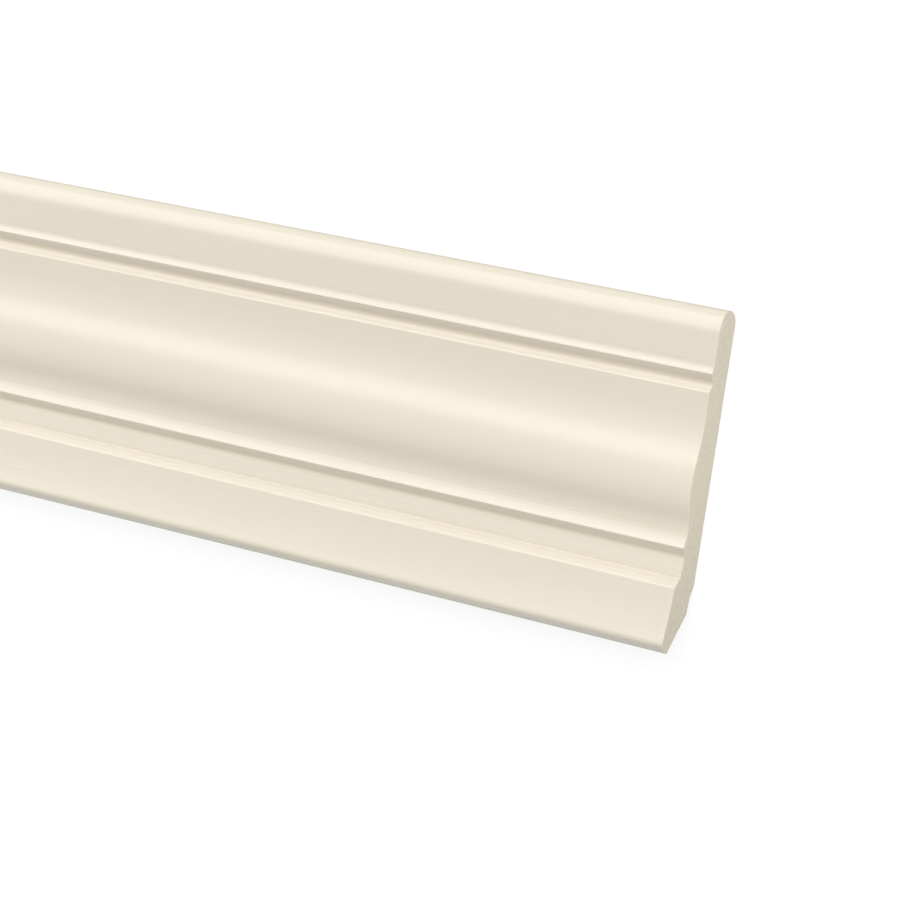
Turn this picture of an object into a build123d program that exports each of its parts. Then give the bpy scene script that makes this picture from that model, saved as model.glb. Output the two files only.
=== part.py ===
from build123d import *
import os

# Skirting board: one length of solid extruded moulding, sawn square at both ends.
# It lies on its flat back with the moulded face up. X runs along the length, Y across
# the board from the toe (-Y) to the rounded top edge (+Y), and Z out of the face.
# Millimetres. A height is measured across the board, a rise is measured up from the tip
# of the toe, and a depth is measured out from the plane of the back.

# Stock size
length = 2400.0
height = 100.0

# Toe: a narrow face turns in from the foot of the plinth to a tip
toe_height = 2.1
toe_depth = 10.9
foot_depth = 15.0
foot_radius = 1.9

# Plinth: a shallow hollow that spreads to the foot, below a sloping top edge
plinth_height = 17.4
plinth_depth = 12.3
plinth_hollow = 0.3
plinth_edge_radius = 1.0
slope_height = 2.4
slope_radius = 1.2

# Lower band, which sinks towards the groove, and the groove's wall up to the lower lip
lower_band_height = 6.65
lower_band_depth = 9.9
lower_groove_height = 2.4
lower_groove_depth = 9.05
lower_groove_radius = 1.9
lower_lip_depth = 10.75

# Ogee: a cove, a swell and a hollow, with a straight flank on each side of the swell. It takes
# up the height that the bands leave, and each share of that is counted from the lower lip.
cove_share = 0.096
cove_depth = 8.6
swell_foot_share = 0.296
swell_crest_share = 0.368
swell_head_share = 0.466
swell_depth = 12.0
hollow_share = 0.728
hollow_end_share = 0.85
hollow_depth = 9.4

# Ledge above the ogee, upper groove, and the lip over it
ledge_height = 2.0
ledge_depth = 9.95
ledge_radius = 0.9
upper_groove_height = 3.3
upper_groove_depth = 7.9
upper_groove_radius = 2.1
upper_lip_depth = 10.2

# Top band, up to the top edge, and the curl that turns its foot out to the upper lip
curl_height = 2.7
top_band_height = 15.6
top_band_depth = 9.5

# Rounding of both lips
lip_radius = 0.4

# Top edge: a round nose, eased into the top band
nose_radius = 4.5
nose_sweep = 68.0
easing_radius = 12.0
easing_sweep = 22.0

# Back: the bevel from the toe stops at a shallow relief below the flat of the back
bevel_height = 11.0
bevel_depth = 2.0
relief_height = 4.6
relief_depth = 1.6
shoulder_height = 3.7

# Rises of the corners, stacked up from the toe and down from the top edge
plinth_rise = toe_height + plinth_height
slope_rise = plinth_rise + slope_height
lower_groove_rise = slope_rise + lower_band_height
lower_lip_rise = lower_groove_rise + lower_groove_height
top_band_rise = height - top_band_height
upper_lip_rise = top_band_rise - curl_height
upper_groove_rise = upper_lip_rise - upper_groove_height
ledge_rise = upper_groove_rise - ledge_height
ogee_height = ledge_rise - lower_lip_rise
relief_rise = bevel_height + relief_height
back_rise = relief_rise + shoulder_height


def at(rise, depth):
    """A point of the section: rise up from the toe, depth out from the back."""
    return Vector(rise - height / 2, depth)


def in_ogee(share, depth):
    """A point of the section, at a share of the ogee's height above the lower lip."""
    return at(lower_lip_rise + share * ogee_height, depth)


def along(corner, end, reach):
    """The point at a distance from a corner, on its side towards end."""
    return corner + (end - corner).normalized() * reach


# Corners that two runs of the section share
tip = at(0, toe_depth)
foot = at(toe_height, foot_depth)
plinth_edge = at(plinth_rise, plinth_depth)
lower_lip = at(lower_lip_rise, lower_lip_depth)
upper_lip = at(upper_lip_rise, upper_lip_depth)
ledge = at(ledge_rise, ledge_depth)
crown = at(height, nose_radius)
nose_back = at(height - nose_radius, 0)

# Corners of the ogee, and the crest between the two of the swell
cove = in_ogee(cove_share, cove_depth)
swell_foot = in_ogee(swell_foot_share, swell_depth)
swell_crest = in_ogee(swell_crest_share, swell_depth)
swell_head = in_ogee(swell_head_share, swell_depth)
hollow = in_ogee(hollow_share, hollow_depth)

# An arc rounds a corner where it touches both sides equally far from it
cove_reach = (cove - lower_lip).length
swell_foot_reach = swell_crest.X - swell_foot.X
swell_head_reach = swell_head.X - swell_crest.X
hollow_reach = (hollow_end_share - hollow_share) * ogee_height
cove_end = along(cove, swell_foot, cove_reach)
swell_start = along(swell_foot, cove, swell_foot_reach)
swell_end = along(swell_head, hollow, swell_head_reach)
hollow_start = along(hollow, swell_head, hollow_reach)
hollow_end = along(hollow, ledge, hollow_reach)

# Directions in the section
towards_toe = Vector(-1, 0)
towards_top = Vector(1, 0)
out_of_face = Vector(0, 1)

with BuildPart() as skirting_board:
    with BuildSketch(Plane.YZ.offset(-length / 2)) as section:
        with BuildLine():
            # Toe and plinth
            Line(tip, foot)
            SagittaArc(foot, plinth_edge, -plinth_hollow)

            # Sloping top edge of the plinth, lower band and lower groove
            FilletPolyline(
                plinth_edge,
                at(slope_rise, lower_band_depth),
                at(lower_groove_rise, lower_groove_depth),
                lower_lip,
                radius=(slope_radius, lower_groove_radius),
            )

            # Ogee: the cove, both sides of the swell, and the hollow, with the flanks between them
            TangentArc(lower_lip, cove_end, tangent=cove - lower_lip)
            Line(cove_end, swell_start)
            TangentArc(swell_crest, swell_start, tangent=towards_toe)
            TangentArc(swell_crest, swell_end, tangent=towards_top)
            Line(swell_end, hollow_start)
            TangentArc(hollow_end, hollow_start, tangent=hollow - hollow_end)

            # Ledge and upper groove
            FilletPolyline(
                hollow_end,
                ledge,
                at(upper_groove_rise, upper_groove_depth),
                upper_lip,
                radius=(ledge_radius, upper_groove_radius),
            )

            # Top edge: the nose turns from the crown to the back, and over the face it eases off
            TangentArc(crown, nose_back, tangent=-out_of_face)
            nose = JernArc(crown, out_of_face, nose_radius, nose_sweep)
            easing = JernArc(nose @ 1, nose % 1, easing_radius, easing_sweep)

            # Top band, whose foot curls out to the upper lip
            top_band = Line(easing @ 1, at(top_band_rise, top_band_depth))
            TangentArc(top_band @ 1, upper_lip, tangent=top_band % 1)

            # Flat back, shallow relief, and the bevel to the tip of the toe
            Polyline(
                nose_back,
                at(back_rise, 0),
                at(relief_rise, relief_depth),
                at(bevel_height, bevel_depth),
                tip,
            )
        make_face()

        # Rounded corners where a run meets an arc
        fillet(section.vertices().sort_by_distance(foot)[0], radius=foot_radius)
        fillet(section.vertices().sort_by_distance(plinth_edge)[0], radius=plinth_edge_radius)
        fillet(section.vertices().sort_by_distance(lower_lip)[0], radius=lip_radius)
        fillet(section.vertices().sort_by_distance(upper_lip)[0], radius=lip_radius)
    extrude(amount=length)

skirting_board.part.label = "skirting_board"

os.makedirs("parts", exist_ok=True)
export_step(skirting_board.part, "parts/skirting_board.step")
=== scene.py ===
"""A length of cream skirting board lying face up on a pale studio floor.

The board is one extruded piece, so it is one surface: its section carried along its length, with a
sawn face at each end. Metres, in the part's own frame: X along the board, Y from the toe to the
rounded top edge, Z out of the moulded face.
"""
import bmesh
import bpy
import math
import numpy as np
from mathutils import Matrix, Vector


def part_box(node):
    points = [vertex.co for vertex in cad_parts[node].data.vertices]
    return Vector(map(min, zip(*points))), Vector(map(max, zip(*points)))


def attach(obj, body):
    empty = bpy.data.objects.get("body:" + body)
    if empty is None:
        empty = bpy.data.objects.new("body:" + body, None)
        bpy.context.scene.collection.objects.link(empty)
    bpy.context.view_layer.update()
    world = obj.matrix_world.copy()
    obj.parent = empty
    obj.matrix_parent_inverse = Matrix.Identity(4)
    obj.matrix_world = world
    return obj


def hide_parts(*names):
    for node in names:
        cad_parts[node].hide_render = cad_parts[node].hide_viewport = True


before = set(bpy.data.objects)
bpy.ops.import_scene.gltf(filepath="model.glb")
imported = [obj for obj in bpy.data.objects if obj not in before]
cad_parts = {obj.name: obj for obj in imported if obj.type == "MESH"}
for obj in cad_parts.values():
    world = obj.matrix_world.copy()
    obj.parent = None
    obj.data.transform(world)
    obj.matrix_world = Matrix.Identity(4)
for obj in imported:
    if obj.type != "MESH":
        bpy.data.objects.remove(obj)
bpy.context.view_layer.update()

MM = 0.001
NODE = "skirting_board"
board_low, board_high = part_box(NODE)
LENGTH = (board_high.x - board_low.x) / MM
HEIGHT = (board_high.y - board_low.y) / MM

# Section, in millimetres: heights are stacked across the board, and a depth is measured out from
# the plane of the back
TOE_HEIGHT, TOE_DEPTH = 2.1, 10.9
FOOT_DEPTH, FOOT_RADIUS = 15.0, 1.9
PLINTH_HEIGHT, PLINTH_DEPTH, PLINTH_HOLLOW, PLINTH_EDGE_RADIUS = 17.4, 12.3, 0.3, 1.0
SLOPE_HEIGHT, SLOPE_RADIUS = 2.4, 1.2
LOWER_BAND_HEIGHT, LOWER_BAND_DEPTH = 6.65, 9.9
LOWER_GROOVE_HEIGHT, LOWER_GROOVE_DEPTH, LOWER_GROOVE_RADIUS = 2.4, 9.05, 1.9
LOWER_LIP_DEPTH = 10.75

# Ogee: it takes up the height between the grooves, and each share of that is counted from the
# lower lip
COVE_SHARE, COVE_DEPTH = 0.096, 8.6
SWELL_FOOT_SHARE, SWELL_CREST_SHARE, SWELL_HEAD_SHARE, SWELL_DEPTH = 0.296, 0.368, 0.466, 12.0
HOLLOW_SHARE, HOLLOW_END_SHARE, HOLLOW_DEPTH = 0.728, 0.85, 9.4

# Ledge, upper groove and lip, top band, nose and back
LEDGE_HEIGHT, LEDGE_DEPTH, LEDGE_RADIUS = 2.0, 9.95, 0.9
UPPER_GROOVE_HEIGHT, UPPER_GROOVE_DEPTH, UPPER_GROOVE_RADIUS = 3.3, 7.9, 2.1
UPPER_LIP_DEPTH = 10.2
CURL_HEIGHT = 2.7
TOP_BAND_HEIGHT, TOP_BAND_DEPTH = 15.6, 9.5
LIP_RADIUS = 0.4
NOSE_RADIUS, NOSE_SWEEP = 4.5, 68.0
EASING_RADIUS, EASING_SWEEP = 12.0, 22.0
BEVEL_HEIGHT, BEVEL_DEPTH = 11.0, 2.0
RELIEF_HEIGHT, RELIEF_DEPTH = 4.6, 1.6
SHOULDER_HEIGHT = 3.7

# Rises of the corners, up from the tip of the toe
PLINTH_RISE = TOE_HEIGHT + PLINTH_HEIGHT
SLOPE_RISE = PLINTH_RISE + SLOPE_HEIGHT
LOWER_GROOVE_RISE = SLOPE_RISE + LOWER_BAND_HEIGHT
LOWER_LIP_RISE = LOWER_GROOVE_RISE + LOWER_GROOVE_HEIGHT
TOP_BAND_RISE = HEIGHT - TOP_BAND_HEIGHT
UPPER_LIP_RISE = TOP_BAND_RISE - CURL_HEIGHT
UPPER_GROOVE_RISE = UPPER_LIP_RISE - UPPER_GROOVE_HEIGHT
LEDGE_RISE = UPPER_GROOVE_RISE - LEDGE_HEIGHT
OGEE_HEIGHT = LEDGE_RISE - LOWER_LIP_RISE
RELIEF_RISE = BEVEL_HEIGHT + RELIEF_HEIGHT
BACK_RISE = RELIEF_RISE + SHOULDER_HEIGHT

# Colours of the skin, of the skin in the grooves, darkened there as painted shade, of the back and of the
# foam
CREAM, SHADED_GROOVE_CREAM = (0.77, 0.708, 0.582, 1), (0.69, 0.61, 0.47, 1)
BACK_CREAM, SAWN_CREAM = (0.765, 0.695, 0.56), (0.86, 0.79, 0.632)

# Index of refraction of the polymer, the shine of its moulded skin, and how rough each finish is
POLYMER_IOR, SKIN_SPECULAR = 1.59, 0.75
SKIN_ROUGHNESS, BACK_ROUGHNESS, FOAM_ROUGHNESS = 0.27, 0.5, 0.68

# Order of the three finishes on the board
FACE_SLOT, BACK_SLOT, SAWN_SLOT = range(3)

# Height of a bump of 1, in metres, on the skin and on the foam
SKIN_RELIEF, FOAM_RELIEF = 0.00001, 0.00003

# Grains to the metre along, across and through the board
LONG_PATCHES, SHORT_PATCHES = (7, 28, 28), (45, 160, 160)
BROAD_LINES, FINE_LINES = (1.2, 240, 240), (3, 900, 900)
SWIRLS = (14, 75, 75)
CLUMPS = (700, 700, 700)

# Sawn ends, in metres: where the middle of the board's back stood from the saw blade's centre, and
# how far from that middle the foam starts to take a painted shade towards the toe
FROM_BLADE = (0, 0.09, 0.12)
SHADE_START = 0.005

# Scales of the saw's marks and of the foam's cells
SAW_MARKS, CELLS = 210.0, 2600.0

# How far either side of a point the face is averaged to find its grooves, and how deep below the
# average counts as full, in millimetres
HOLLOW_REACH, HOLLOW_FULL = 2.0, 0.5

# Share of the ogee's height over which its painted light and its gloss come up at each end
LIGHT_AND_GLOSS_SHARE = 0.25

# How finely the surface is sampled, and how far the sawn edges are eased, in millimetres and steps
STRAIGHT_STEP = 0.8
EVEN_STEP = 0.1
ARC_STEPS = 20
CORNER_STEPS = 8
STATION_STEP = 40.0
ARRIS = 0.2
ARRIS_STEPS = 5
CAP_STEPS = 10

# Points nearer to a rounding than this share of its reach are left out, to keep the grid even
CLEAR = 1.02

# Points closer than this are one, in metres, and edges sharper than this stay sharp, in degrees
WELD = 2e-6
SHARP = 16


def at(rise, depth):
    """A point of the section."""
    return np.array([rise, depth], float)


def in_ogee(share, depth):
    """A point of the section, at a share of the ogee's height above the lower lip."""
    return at(LOWER_LIP_RISE + share * OGEE_HEIGHT, depth)


def unit(vector):
    """The vector at a length of 1."""
    return vector / np.linalg.norm(vector)


def line(start, end):
    """Points of the straight run from start to end, STRAIGHT_STEP or less apart."""
    steps = math.ceil(np.linalg.norm(end - start) / STRAIGHT_STEP) + 1
    return start + np.outer(np.linspace(0, 1, steps), end - start)


def arc_leaving(start, direction, end):
    """Points of the circle that leaves start along direction and reaches end, and its direction there.

    With the chord c and the unit normal n to the direction, the radius is c.c / 2 c.n. The centre
    is start + radius n, and the points turn about it by equal steps.
    """
    direction = unit(direction)
    normal = np.array([-direction[1], direction[0]])
    chord = end - start
    radius = chord @ chord / (2 * chord @ normal)
    turn = 2 * math.atan2(chord @ normal, chord @ direction)
    angles = np.linspace(0, turn, ARC_STEPS)
    points = start + radius * (np.outer(np.sin(angles), direction) + np.outer(1 - np.cos(angles), normal))
    return points, direction * math.cos(turn) + normal * math.sin(turn)


def swing(start, direction, radius, sweep):
    """Points of an arc that leaves start along a unit direction and turns left by sweep degrees.

    Its direction at the far end comes with them.
    """
    normal = np.array([-direction[1], direction[0]])
    angles = np.radians(np.linspace(0, sweep, ARC_STEPS))
    points = start + radius * (np.outer(np.sin(angles), direction) + np.outer(1 - np.cos(angles), normal))
    return points, direction * math.cos(angles[-1]) + normal * math.sin(angles[-1])


def join(before, after, radius=0.0):
    """Two runs end to end, with the corner between them rounded to that radius.

    The rounding touches each run at radius / tan(half the corner) from the corner, and its centre
    lies on the bisector at radius / sin(half the corner).
    """
    if not radius:
        return np.concatenate([before, after[1:]])
    tip = before[-1]
    backward = unit(before[-2] - tip)
    forward = unit(after[1] - tip)
    half = math.acos(backward @ forward) / 2
    reach = radius / math.tan(half)
    centre = tip + unit(backward + forward) * radius / math.sin(half)
    spoke = tip + backward * reach - centre
    across = np.array([-spoke[1], spoke[0]])
    across *= np.sign(across @ forward)
    angles = np.linspace(0, math.pi - 2 * half, CORNER_STEPS)
    rounding = centre + np.outer(np.cos(angles), spoke) + np.outer(np.sin(angles), across)
    clear_before = np.linalg.norm(before - tip, axis=1) > reach * CLEAR
    clear_after = np.linalg.norm(after - tip, axis=1) > reach * CLEAR
    return np.concatenate([before[clear_before], rounding, after[clear_after]])


def plinth_run(foot, edge):
    """The shallow hollow of the plinth: an arc whose middle lies PLINTH_HOLLOW behind its chord."""
    chord = edge - foot
    lead = -2 * math.atan(2 * PLINTH_HOLLOW / np.linalg.norm(chord))
    turned = np.array([
        chord[0] * math.cos(lead) - chord[1] * math.sin(lead),
        chord[0] * math.sin(lead) + chord[1] * math.cos(lead),
    ])
    return arc_leaving(foot, turned, edge)[0]


def ease(run, corner, beyond, reach):
    """A run carried on to a corner and round it: the arc touches both sides at reach from the corner."""
    start = corner + unit(run[-1] - corner) * reach
    end = corner + unit(beyond - corner) * reach
    return join(join(run, line(run[-1], start)), arc_leaving(start, corner - start, end)[0])


def ogee(run, ledge):
    """A run carried on from the lower lip: the cove, the swell with a flank each side, the hollow."""
    cove = in_ogee(COVE_SHARE, COVE_DEPTH)
    swell_foot = in_ogee(SWELL_FOOT_SHARE, SWELL_DEPTH)
    swell_crest = in_ogee(SWELL_CREST_SHARE, SWELL_DEPTH)
    swell_head = in_ogee(SWELL_HEAD_SHARE, SWELL_DEPTH)
    hollow = in_ogee(HOLLOW_SHARE, HOLLOW_DEPTH)
    cove_reach = np.linalg.norm(cove - run[-1])
    cove_arc = arc_leaving(run[-1], cove - run[-1], cove + unit(swell_foot - cove) * cove_reach)[0]
    run = join(run, cove_arc, LIP_RADIUS)
    run = ease(run, swell_foot, swell_head, swell_crest[0] - swell_foot[0])
    run = ease(run, swell_head, hollow, swell_head[0] - swell_crest[0])
    return ease(run, hollow, ledge, (HOLLOW_END_SHARE - HOLLOW_SHARE) * OGEE_HEIGHT)


def face_profile():
    """The moulded side of the section, from the tip of the toe to the crown."""
    foot = at(TOE_HEIGHT, FOOT_DEPTH)
    plinth_edge = at(PLINTH_RISE, PLINTH_DEPTH)
    slope_top = at(SLOPE_RISE, LOWER_BAND_DEPTH)
    lower_groove = at(LOWER_GROOVE_RISE, LOWER_GROOVE_DEPTH)
    lower_lip = at(LOWER_LIP_RISE, LOWER_LIP_DEPTH)
    ledge = at(LEDGE_RISE, LEDGE_DEPTH)
    upper_groove = at(UPPER_GROOVE_RISE, UPPER_GROOVE_DEPTH)
    upper_lip = at(UPPER_LIP_RISE, UPPER_LIP_DEPTH)
    band_foot = at(TOP_BAND_RISE, TOP_BAND_DEPTH)

    run = line(at(0, TOE_DEPTH), foot)
    run = join(run, plinth_run(foot, plinth_edge), FOOT_RADIUS)
    run = join(run, line(plinth_edge, slope_top), PLINTH_EDGE_RADIUS)
    run = join(run, line(slope_top, lower_groove), SLOPE_RADIUS)
    run = join(run, line(lower_groove, lower_lip), LOWER_GROOVE_RADIUS)
    run = ogee(run, ledge)
    run = join(run, line(run[-1], ledge))
    run = join(run, line(ledge, upper_groove), LEDGE_RADIUS)
    run = join(run, line(upper_groove, upper_lip), UPPER_GROOVE_RADIUS)

    out_of_face = np.array([0.0, 1.0])
    nose, at_nose = swing(at(HEIGHT, NOSE_RADIUS), out_of_face, NOSE_RADIUS, NOSE_SWEEP)
    easing, _ = swing(nose[-1], at_nose, EASING_RADIUS, EASING_SWEEP)
    curl, _ = arc_leaving(band_foot, band_foot - easing[-1], upper_lip)
    run = join(run, curl[::-1], LIP_RADIUS)
    for tangent_run in (line(band_foot, easing[-1]), easing[::-1], nose[::-1]):
        run = join(run, tangent_run)
    return run


def back_depth(rise):
    """Depth of the back at each rise: the bevel, the relief, its shoulder, the flat and the nose."""
    depth = np.interp(
        rise, [0, BEVEL_HEIGHT, RELIEF_RISE, BACK_RISE], [TOE_DEPTH, BEVEL_DEPTH, RELIEF_DEPTH, 0]
    )
    into_nose = np.clip(rise - (HEIGHT - NOSE_RADIUS), 0, NOSE_RADIUS)
    return depth + NOSE_RADIUS - np.sqrt(NOSE_RADIUS**2 - into_nose**2)


def section():
    """The section as matching columns: rise, depth of the back and depth of the face.

    Each side is a function of the rise, and they meet at the tip of the toe and at the crown, so
    one set of rises serves both. It holds every point of the face and every corner of the back.
    """
    face = face_profile()
    rises = np.unique(np.concatenate([face[:, 0], [BEVEL_HEIGHT, RELIEF_RISE, BACK_RISE]]).round(4))
    front = np.interp(rises, face[:, 0], face[:, 1])
    back = back_depth(rises)
    front[[0, -1]] = back[[0, -1]]
    return rises, back, front


def light_and_gloss_ramp(rises):
    """How much painted light and gloss the face takes at each rise: fully over the ogee, from 0 to 1.

    It is 0 outside the ogee, and inside it grows with the distance from the nearer end until
    LIGHT_AND_GLOSS_SHARE of the ogee's height, on a curve that is level at both ends.
    """
    share = (rises - LOWER_LIP_RISE) / OGEE_HEIGHT
    ramp = np.clip(np.minimum(share, 1 - share) / LIGHT_AND_GLOSS_SHARE, 0, 1)
    return ramp**2 * (3 - 2 * ramp)


def hollowness(rises):
    """How deep in a groove each point of the face lies, from 0 to 1.

    It is the face's depth under its own average over HOLLOW_REACH either side, as a share of
    HOLLOW_FULL.
    """
    section_rises, _, front = section()
    even = np.arange(0, HEIGHT, EVEN_STEP)
    depth = np.interp(even, section_rises, front)
    reach = round(HOLLOW_REACH / EVEN_STEP)
    window = np.full(2 * reach + 1, 1 / (2 * reach + 1))
    average = np.convolve(np.pad(depth, reach, mode="edge"), window, mode="valid")
    return np.interp(rises, even, np.clip((average - depth) / HOLLOW_FULL, 0, 1))


def outward(loop):
    """Unit normals of a closed loop of points that runs with its inside on the right."""
    along = np.roll(loop, -1, axis=0) - np.roll(loop, 1, axis=0)
    along /= np.linalg.norm(along, axis=1)[:, None]
    return np.stack([-along[:, 1], along[:, 0]], axis=1)


def end_grid(edge, count):
    """Points over one sawn end: a row for each rise, from the back straight across to the face.

    The edge is the ring of points round the end, and its first count points run up the face.
    """
    face_side = edge[:count]
    back_side = np.concatenate([edge[:1], edge[:count - 1:-1], edge[count - 1:count]])
    share = np.linspace(0, 1, CAP_STEPS + 1)[None, :, None]
    return (back_side[:, None] * (1 - share) + face_side[:, None] * share).reshape(-1, 3)


def grid_faces(index):
    """The quads of a grid of point numbers."""
    corners = [index[:-1, :-1], index[:-1, 1:], index[1:, 1:], index[1:, :-1]]
    return np.stack(corners, axis=2).reshape(-1, 4)


def board_mesh():
    """The board's surface, as a function of the distance along it and the place round its section.

    The loop of the section is carried from end to end. Over the last fifth of a millimetre it
    shrinks along a quarter circle, which eases the sawn edge: at angle t it is drawn in by
    ARRIS (1 - sin t) and stands ARRIS (1 - cos t) short of the end.
    """
    rises, back, front = section()
    count = len(rises)
    loop = np.concatenate([np.stack([rises, front], 1), np.stack([rises, back], 1)[-2:0:-1]])
    size = len(loop)

    turn = np.linspace(0, math.pi / 2, ARRIS_STEPS)
    arris_inset = ARRIS * (1 - np.sin(turn))
    left = -LENGTH / 2 + ARRIS * (1 - np.cos(turn))
    middle = np.linspace(left[-1], -left[-1], round(LENGTH / STATION_STEP))[1:-1]
    stations = np.concatenate([left, middle, -left[::-1]])
    inset = np.concatenate([arris_inset, np.zeros(len(middle)), arris_inset[::-1]])

    ring = loop[None] - outward(loop)[None] * inset[:, None, None]
    along = np.repeat(stations[:, None], size, axis=1)
    sides = np.stack([along, ring[:, :, 0] + board_low.y / MM, ring[:, :, 1]], axis=2)
    rows = len(stations)
    side_index = np.arange(rows * size).reshape(rows, size)
    side_faces = grid_faces(np.concatenate([side_index, side_index[:, :1]], axis=1))

    left_end, right_end = end_grid(sides[0], count), end_grid(sides[-1], count)
    left_index = np.arange(len(left_end)).reshape(count, -1) + rows * size
    right_faces = grid_faces(left_index + len(left_end))

    mesh = bpy.data.meshes.new("moulded_board")
    points = np.concatenate([sides.reshape(-1, 3), left_end, right_end]) * MM
    faces = np.concatenate([side_faces, grid_faces(left_index)[:, ::-1], right_faces])
    mesh.from_pydata(points, [], faces.tolist())

    point_rises = points[:, 1] / MM - board_low.y / MM
    for name, values in (("groove", hollowness(point_rises)), ("ogee_light_and_gloss", light_and_gloss_ramp(point_rises))):
        attribute = mesh.attributes.new(name, "FLOAT", "POINT")
        attribute.data.foreach_set("value", values.astype(np.float32))

    on_back = (np.arange(size) >= count - 1) & (loop[:, 0] <= HEIGHT - NOSE_RADIUS)
    slots = np.full(len(faces), SAWN_SLOT)
    slots[:len(side_faces)] = np.tile(np.where(on_back, BACK_SLOT, FACE_SLOT), rows - 1)
    mesh.polygons.foreach_set("material_index", slots.astype(np.int32))
    return mesh


def close_up(mesh):
    """Joins the end grids to the sides, turns every face outwards and shades the curves smooth."""
    work = bmesh.new()
    work.from_mesh(mesh)
    bmesh.ops.remove_doubles(work, verts=work.verts, dist=WELD)
    bmesh.ops.recalc_face_normals(work, faces=work.faces)
    work.to_mesh(mesh)
    work.free()
    mesh.polygons.foreach_set("use_smooth", np.ones(len(mesh.polygons), bool))
    mesh.set_sharp_from_angle(angle=math.radians(SHARP))
    mesh.update()


def node(tree, kind, inputs=None, **settings):
    """A node of a tree. Its inputs are given by name or number, as a value or as the socket to link."""
    made = tree.nodes.new(kind)
    for name, value in settings.items():
        setattr(made, name, value)
    for key, value in (inputs or {}).items():
        if isinstance(value, bpy.types.NodeSocket):
            tree.links.new(value, made.inputs[key])
        else:
            made.inputs[key].default_value = value
    return made


def maths(tree, operation, first, second):
    """The result of one sum on two values or sockets."""
    return node(tree, "ShaderNodeMath", {0: first, 1: second}, operation=operation).outputs[0]


def weighed(tree, start, *terms):
    """The start value plus each socket times its weight."""
    total = start
    for value, weight in terms:
        total = node(
            tree, "ShaderNodeMath", {0: value, 1: weight, 2: total}, operation="MULTIPLY_ADD"
        ).outputs[0]
    return total


def noise(tree, place, grains, detail=2.0):
    """Noise from 0 to 1, with so many grains to the metre along, across and through the board."""
    scaled = node(tree, "ShaderNodeVectorMath", {0: place, 1: grains}, operation="MULTIPLY").outputs[0]
    return node(tree, "ShaderNodeTexNoise", {"Vector": scaled, "Scale": 1.0, "Detail": detail}).outputs[0]


def new_group(name, inputs, output):
    """A node group with named inputs and one output, and the sockets inside it that they join.

    An input whose default is a tuple is a vector, and any other is a number.
    """
    group = bpy.data.node_groups.new(name, "ShaderNodeTree")
    for label, default in inputs.items():
        kind = "NodeSocketVector" if isinstance(default, tuple) else "NodeSocketFloat"
        group.interface.new_socket(label, in_out="INPUT", socket_type=kind).default_value = default
    group.interface.new_socket(output, in_out="OUTPUT", socket_type="NodeSocketFloat")
    return group, group.nodes.new("NodeGroupInput").outputs, group.nodes.new("NodeGroupOutput").inputs


def tone_clouds():
    """Patches a little lighter and darker than the rest, drawn out along the board.

    Tone is (long patches + half of the short ones - their mean) times Amount.
    """
    group, given, result = new_group("tone_clouds", {"Place": (0, 0, 0), "Amount": 0.05}, "Tone")
    long_patches = noise(group, given["Place"], LONG_PATCHES)
    short_patches = noise(group, given["Place"], SHORT_PATCHES, 3.0)
    mixed = weighed(group, -0.75, (long_patches, 1.0), (short_patches, 0.5))
    group.links.new(maths(group, "MULTIPLY", mixed, given["Amount"]), result["Tone"])
    return group


def die_lines():
    """Faint ridges that the die leaves along the board: broad ones, with finer ones over them.

    Height is (broad lines + a quarter of the fine ones - their mean) times Depth.
    """
    group, given, result = new_group("die_lines", {"Place": (0, 0, 0), "Depth": 1.0}, "Height")
    broad = noise(group, given["Place"], BROAD_LINES, 1.0)
    fine = noise(group, given["Place"], FINE_LINES, 1.0)
    mixed = weighed(group, -0.625, (broad, 1.0), (fine, 0.25))
    group.links.new(maths(group, "MULTIPLY", mixed, given["Depth"]), result["Height"])
    return group


def fine_grain():
    """Even small bumps with so many Grains to the metre, Depth high from hollow to top."""
    defaults = {"Place": (0, 0, 0), "Grains": 1000.0, "Depth": 1.0}
    group, given, result = new_group("fine_grain", defaults, "Height")
    bumps = node(
        group, "ShaderNodeTexNoise", {"Vector": given["Place"], "Scale": given["Grains"]}
    ).outputs[0]
    centred = maths(group, "SUBTRACT", bumps, 0.5)
    group.links.new(maths(group, "MULTIPLY", centred, given["Depth"]), result["Height"])
    return group


def use(tree, group, **inputs):
    """The output of a group placed in a material with its own values."""
    return node(tree, "ShaderNodeGroup", inputs, node_tree=group).outputs[0]


def new_material(name):
    """A material of the board's polymer: its node tree, its shader and the place on the board."""
    material = bpy.data.materials.new(name)
    material.use_nodes = True
    tree = material.node_tree
    shader = tree.nodes["Principled BSDF"]
    shader.inputs["IOR"].default_value = POLYMER_IOR
    return material, tree, shader, node(tree, "ShaderNodeTexCoord").outputs["Object"]


def finish(tree, shader, colour, tone, roughness, height, relief):
    """Joins a finish to its shader: the colour times 1 + tone, and a bump of height times relief.

    The colour is a socket or three numbers.
    """
    lightness = maths(tree, "ADD", 1.0, tone)
    toned = node(
        tree, "ShaderNodeVectorMath", {0: colour, "Scale": lightness}, operation="SCALE"
    ).outputs[0]
    bump = node(tree, "ShaderNodeBump", {"Height": height, "Distance": relief})
    tree.links.new(toned, shader.inputs["Base Color"])
    tree.links.new(roughness, shader.inputs["Roughness"])
    tree.links.new(bump.outputs[0], shader.inputs["Normal"])


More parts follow.
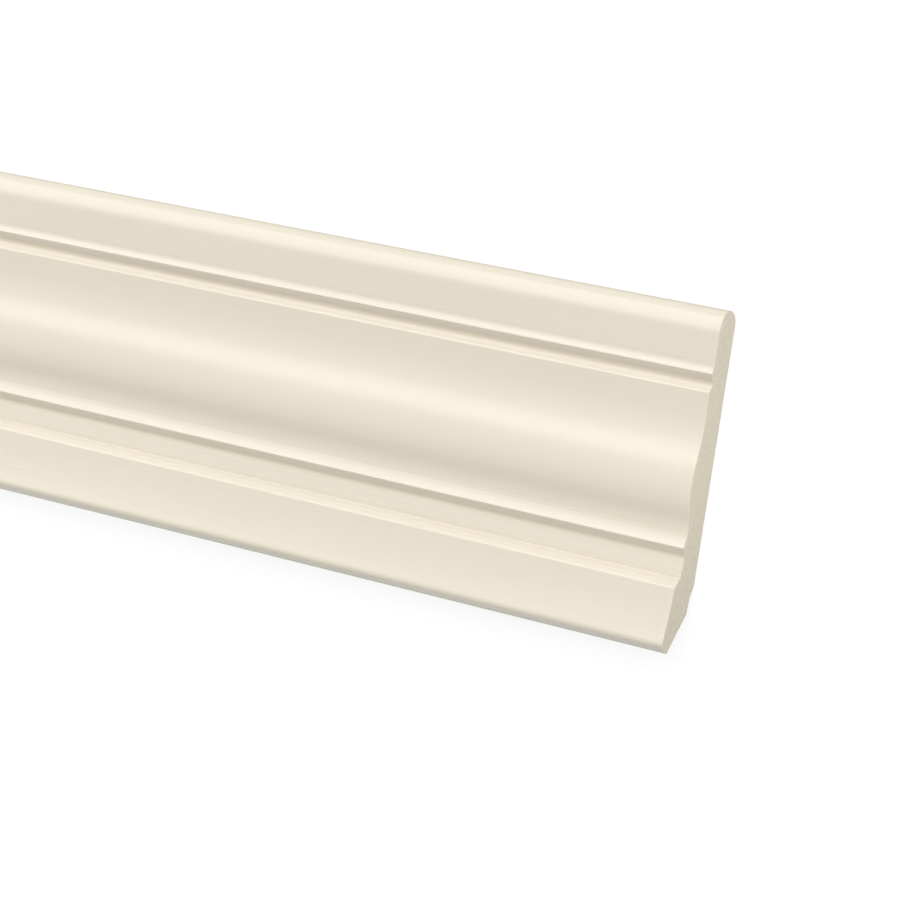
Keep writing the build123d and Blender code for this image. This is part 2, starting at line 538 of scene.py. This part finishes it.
def cream_skin(clouds, lines, grain):
    """The moulded face: satin skin, painted light over the ogee, painted shade and dullness in the
    grooves.
    """
    material, tree, shader, place = new_material("cream_skin")
    shader.inputs["Specular IOR Level"].default_value = SKIN_SPECULAR
    groove = node(tree, "ShaderNodeAttribute", attribute_name="groove").outputs["Fac"]
    ogee_light_and_gloss = node(tree, "ShaderNodeAttribute", attribute_name="ogee_light_and_gloss").outputs["Fac"]
    patches = use(tree, clouds, Place=place, Amount=0.05)
    ridges = use(tree, lines, Place=place, Depth=0.45)
    bumps = use(tree, grain, Place=place, Grains=900.0, Depth=0.5)
    swirls = noise(tree, place, SWIRLS)

    # The skin is darker in the grooves, by their depth: painted shade
    colour = node(
        tree, "ShaderNodeMix", {0: groove, 6: CREAM, 7: SHADED_GROOVE_CREAM}, data_type="RGBA"
    ).outputs[2]
    # The ogee is made paler by painted light, and a little glossier
    tone = weighed(tree, 0.0, (patches, 1.0), (ogee_light_and_gloss, 0.045))
    roughness = weighed(tree, SKIN_ROUGHNESS, (groove, 0.12), (ogee_light_and_gloss, -0.02), (ridges, 0.12))
    height = weighed(tree, 0.0, (ridges, 1.0), (bumps, 1.0), (swirls, 5.0))
    finish(tree, shader, colour, tone, roughness, height, SKIN_RELIEF)
    return material


def raw_back(clouds, lines, grain):
    """The back: the bare skin of the foam, duller, with plainer die lines and a coarser grain."""
    material, tree, shader, place = new_material("raw_back")
    patches = use(tree, clouds, Place=place, Amount=0.09)
    ridges = use(tree, lines, Place=place, Depth=2.2)
    bumps = use(tree, grain, Place=place, Grains=1400.0, Depth=1.0)

    roughness = weighed(tree, BACK_ROUGHNESS, (ridges, 0.04))
    height = weighed(tree, 0.0, (ridges, 1.0), (bumps, 1.0))
    finish(tree, shader, BACK_CREAM, patches, roughness, height, SKIN_RELIEF)
    return material


def sawn_foam(clouds, grain):
    """The sawn ends: open foam cells that clump, painted shade towards the toe, faint arcs from the saw.
    """
    material, tree, shader, place = new_material("sawn_foam")
    patches = use(tree, clouds, Place=place, Amount=0.1)
    pits = use(tree, grain, Place=place, Grains=2400.0, Depth=2.5)
    clumps = noise(tree, place, CLUMPS)
    cells = node(
        tree, "ShaderNodeTexVoronoi", {"Vector": place, "Scale": CELLS}, feature="SMOOTH_F1"
    ).outputs[0]
    from_blade = node(tree, "ShaderNodeMapping", {"Vector": place, "Location": FROM_BLADE}).outputs[0]
    arcs = node(tree, "ShaderNodeTexWave", {
        "Vector": from_blade, "Scale": SAW_MARKS, "Distortion": 1.2, "Detail": 2.0,
    }, wave_type="RINGS", rings_direction="X").outputs["Fac"]
    across = node(tree, "ShaderNodeSeparateXYZ", {0: place}).outputs["Y"]
    # The foam darkens towards the toe: painted shade
    painted_shade_towards_toe = node(tree, "ShaderNodeMapRange", {
        "Value": across, "From Min": -SHADE_START, "From Max": board_low.y,
    }).outputs[0]

    tone = weighed(
        tree, -0.1275, (patches, 1.0), (clumps, 0.22), (arcs, 0.035), (painted_shade_towards_toe, -0.11)
    )
    roughness = weighed(tree, FOAM_ROUGHNESS, (clumps, 0.1))
    height = weighed(tree, 0.0, (pits, 1.0), (cells, 2.0), (arcs, 0.6))
    finish(tree, shader, SAWN_CREAM, tone, roughness, height, FOAM_RELIEF)
    return material


def make_board():
    """The whole board: one closed surface in the place of the solid."""
    mesh = board_mesh()
    close_up(mesh)
    clouds, lines, grain = tone_clouds(), die_lines(), fine_grain()
    mesh.materials.append(cream_skin(clouds, lines, grain))
    mesh.materials.append(raw_back(clouds, lines, grain))
    mesh.materials.append(sawn_foam(clouds, grain))
    board = bpy.data.objects.new("moulded_board", mesh)
    bpy.context.scene.collection.objects.link(board)
    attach(board, "root")
    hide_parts(NODE)


# Studio, in metres
FLOOR_HALF = 40.0
FLOOR_COLOUR = (0.2, 0.2, 0.2, 1)
FLOOR_GLOW = 0.85
AIR_OVERHEAD, AIR_AT_HORIZON = 0.415, 0.97

# The air dims between these two heights of a direction, 0 at the horizon and 1 overhead
AIR_BAND = (0.13, 0.22)

# Lamps: a long key lamp over the top edge, and one fill lamp beyond each end
KEY_DIRECTION = (0.0, 0.6225, 0.7826)
KEY_DISTANCE, KEY_LENGTH, KEY_WIDTH, KEY_RADIANCE = 2.4, 6.5, 2.45, 1.64
FILL_OUT, FILL_UP = 0.97, 0.24
FILL_DISTANCE, FILL_LENGTH, FILL_WIDTH, FILL_RADIANCE = 6.0, 3.0, 3.5, 2.9


def make_floor():
    """The floor: it keeps the board's soft shadow, and is white to the camera and in reflections."""
    mesh = bpy.data.meshes.new("floor")
    corners = [(-FLOOR_HALF, -FLOOR_HALF, 0), (FLOOR_HALF, -FLOOR_HALF, 0),
               (FLOOR_HALF, FLOOR_HALF, 0), (-FLOOR_HALF, FLOOR_HALF, 0)]
    mesh.from_pydata(corners, [], [(0, 1, 2, 3)])
    floor = bpy.data.objects.new("floor", mesh)
    bpy.context.scene.collection.objects.link(floor)
    material = bpy.data.materials.new("white_floor")
    material.use_nodes = True
    tree = material.node_tree
    tree.nodes.clear()
    path = node(tree, "ShaderNodeLightPath").outputs
    seen = maths(tree, "MAXIMUM", path["Is Camera Ray"], path["Is Glossy Ray"])
    seen = maths(tree, "MAXIMUM", seen, path["Is Transmission Ray"])
    paint = node(tree, "ShaderNodeBsdfDiffuse", {"Color": FLOOR_COLOUR})
    glow = node(tree, "ShaderNodeEmission", {"Strength": maths(tree, "MULTIPLY", seen, FLOOR_GLOW)})
    both = node(tree, "ShaderNodeAddShader", {0: paint.outputs[0], 1: glow.outputs[0]})
    node(tree, "ShaderNodeOutputMaterial", {"Surface": both.outputs[0]})
    mesh.materials.append(material)


def make_air():
    """Soft light from all round: pale at the horizon, as from a studio's walls, and dimmer overhead."""
    world = bpy.data.worlds.new("studio_air")
    bpy.context.scene.world = world
    world.use_nodes = True
    tree = world.node_tree
    tree.nodes.clear()
    direction = node(tree, "ShaderNodeTexCoord").outputs["Generated"]
    height = node(tree, "ShaderNodeSeparateXYZ", {0: direction}).outputs["Z"]
    level = node(tree, "ShaderNodeMapRange", {
        "Value": height, "From Min": AIR_BAND[0], "From Max": AIR_BAND[1],
        "To Min": AIR_AT_HORIZON, "To Max": AIR_OVERHEAD,
    }, interpolation_type="SMOOTHSTEP").outputs[0]
    air = node(tree, "ShaderNodeBackground", {"Color": (1, 1, 1, 1), "Strength": level})
    node(tree, "ShaderNodeOutputWorld", {"Surface": air.outputs[0]})


def soft_lamp(name, target, direction, distance, length, width, radiance, mirrored=True):
    """A rectangular lamp that faces a point from a direction.

    Its length lies as near to the board's direction as it can. A lamp of area A and power P has a
    face of radiance P / (pi A), so the power is set from that. Only a mirrored lamp shows in gloss.
    """
    away = Vector(direction).normalized()
    side = (Vector((1, 0, 0)) - away * away.x).normalized()
    data = bpy.data.lights.new(name, "AREA")
    data.shape = "RECTANGLE"
    data.size, data.size_y = length, width
    data.energy = radiance * math.pi * length * width
    lamp = bpy.data.objects.new(name, data)
    bpy.context.scene.collection.objects.link(lamp)
    axes = Matrix((side, away.cross(side), away)).transposed().to_4x4()
    lamp.matrix_world = Matrix.Translation(Vector(target) + away * distance) @ axes
    lamp.visible_camera = False
    lamp.visible_glossy = mirrored


def make_lamps():
    """The key lamp, which the gloss mirrors, and the fill lamps for the sawn ends, which it doesn't."""
    soft_lamp(
        "key_softbox", (board_high.x / 2, 0, 0), KEY_DIRECTION,
        KEY_DISTANCE, KEY_LENGTH, KEY_WIDTH, KEY_RADIANCE,
    )
    for name, side in (("end_fill_left", -1), ("end_fill_right", 1)):
        soft_lamp(
            name, (side * board_high.x, 0, 0), (side * FILL_OUT, 0, FILL_UP),
            FILL_DISTANCE, FILL_LENGTH, FILL_WIDTH, FILL_RADIANCE, mirrored=False,
        )


# Camera: its place in millimetres, beyond the right end, up from the toe and above the back, then
# the directions that it looks in and holds up
CAMERA_ALONG, CAMERA_RISE, CAMERA_DEPTH = 436.4, 172.6, 904.3
CAMERA_VIEW = Vector((-0.4974, -0.1235, -0.8587))
CAMERA_UP = Vector((-0.1890, 0.9815, -0.0317))

# Focal length and picture in pixels, sensor in millimetres, and nearest and farthest view in metres
FOCAL_PIXELS = 3500.0
IMAGE_PIXELS = 900.0
SENSOR = 36.0
CLIP_NEAR, CLIP_FAR = 0.05, 100.0


def make_camera():
    """The camera of the photo: placed from the board's right end, and turned by its view and its up."""
    data = bpy.data.cameras.new("camera")
    data.sensor_width = SENSOR
    data.lens = FOCAL_PIXELS / IMAGE_PIXELS * SENSOR
    data.clip_start, data.clip_end = CLIP_NEAR, CLIP_FAR
    camera = bpy.data.objects.new("camera", data)
    bpy.context.scene.collection.objects.link(camera)
    back = -CAMERA_VIEW.normalized()
    right = CAMERA_UP.cross(back).normalized()
    place = Vector((board_high.x, board_low.y, board_low.z))
    place += Vector((CAMERA_ALONG, CAMERA_RISE, CAMERA_DEPTH)) * MM
    axes = Matrix((right, back.cross(right), back)).transposed().to_4x4()
    camera.matrix_world = Matrix.Translation(place) @ axes
    bpy.context.scene.camera = camera


make_board()
make_floor()
make_air()
make_lamps()
make_camera()
bpy.context.scene.view_settings.view_transform = "Standard"
